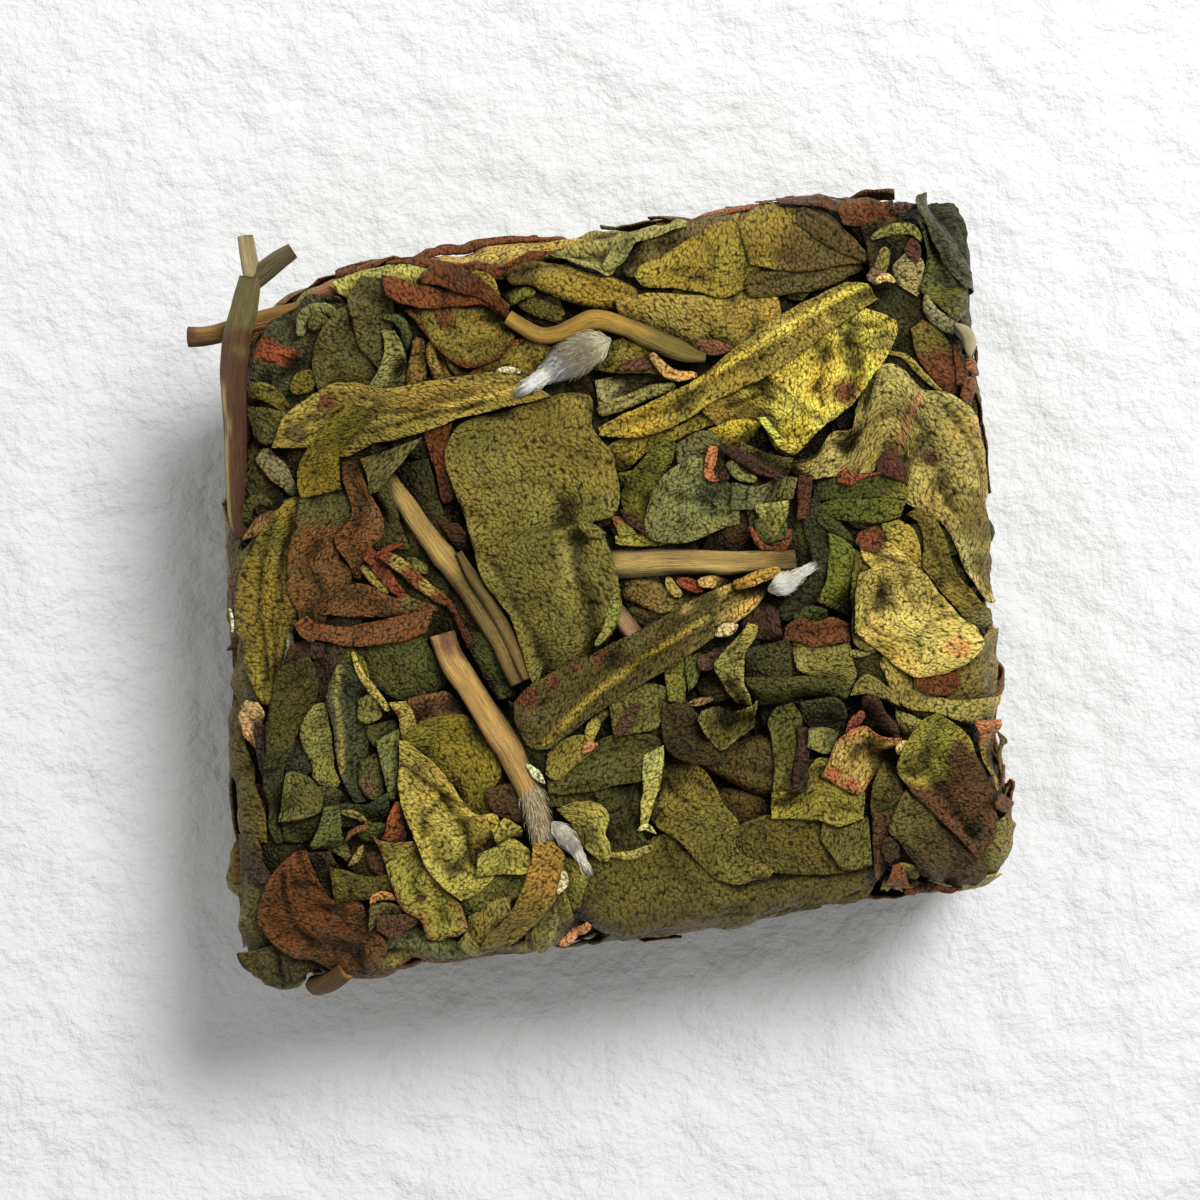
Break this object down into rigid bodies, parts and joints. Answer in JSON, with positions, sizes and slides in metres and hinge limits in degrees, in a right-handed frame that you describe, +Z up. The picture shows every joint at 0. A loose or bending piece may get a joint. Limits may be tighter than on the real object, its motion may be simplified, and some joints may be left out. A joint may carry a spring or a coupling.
{
  "type": "pressed oolong tea cake",
  "caption": "Small square cake of whole oolong leaves, stems and downy buds, pressed in a mould and dried, with folded leaves on its sides and two twigs standing off one corner.",
  "frame": {"origin": "centre of the flat underside that the cake rests on", "axes": "+Z up out of the pressed top face, +X along the wider side, +Y towards the side with the two crossing twigs and the dark folded corner"},
  "size_m": [0.0509, 0.0476, 0.0177],
  "materials": {
    "dried_leaf": "matt to faintly waxy dried leaf, olive with red-brown and yellow-green leaves, finely pebbled",
    "dried_stem": "dry tan stem with fine lengthwise grain",
    "bud_down": "silky cream-white down on leaf buds",
    "leaf_shade": "dark matt packed leaf deep between the folds"
  },
  "bodies": {
    "root": {"tea_cake": "dried_leaf"}
  },
  "joints": []
}
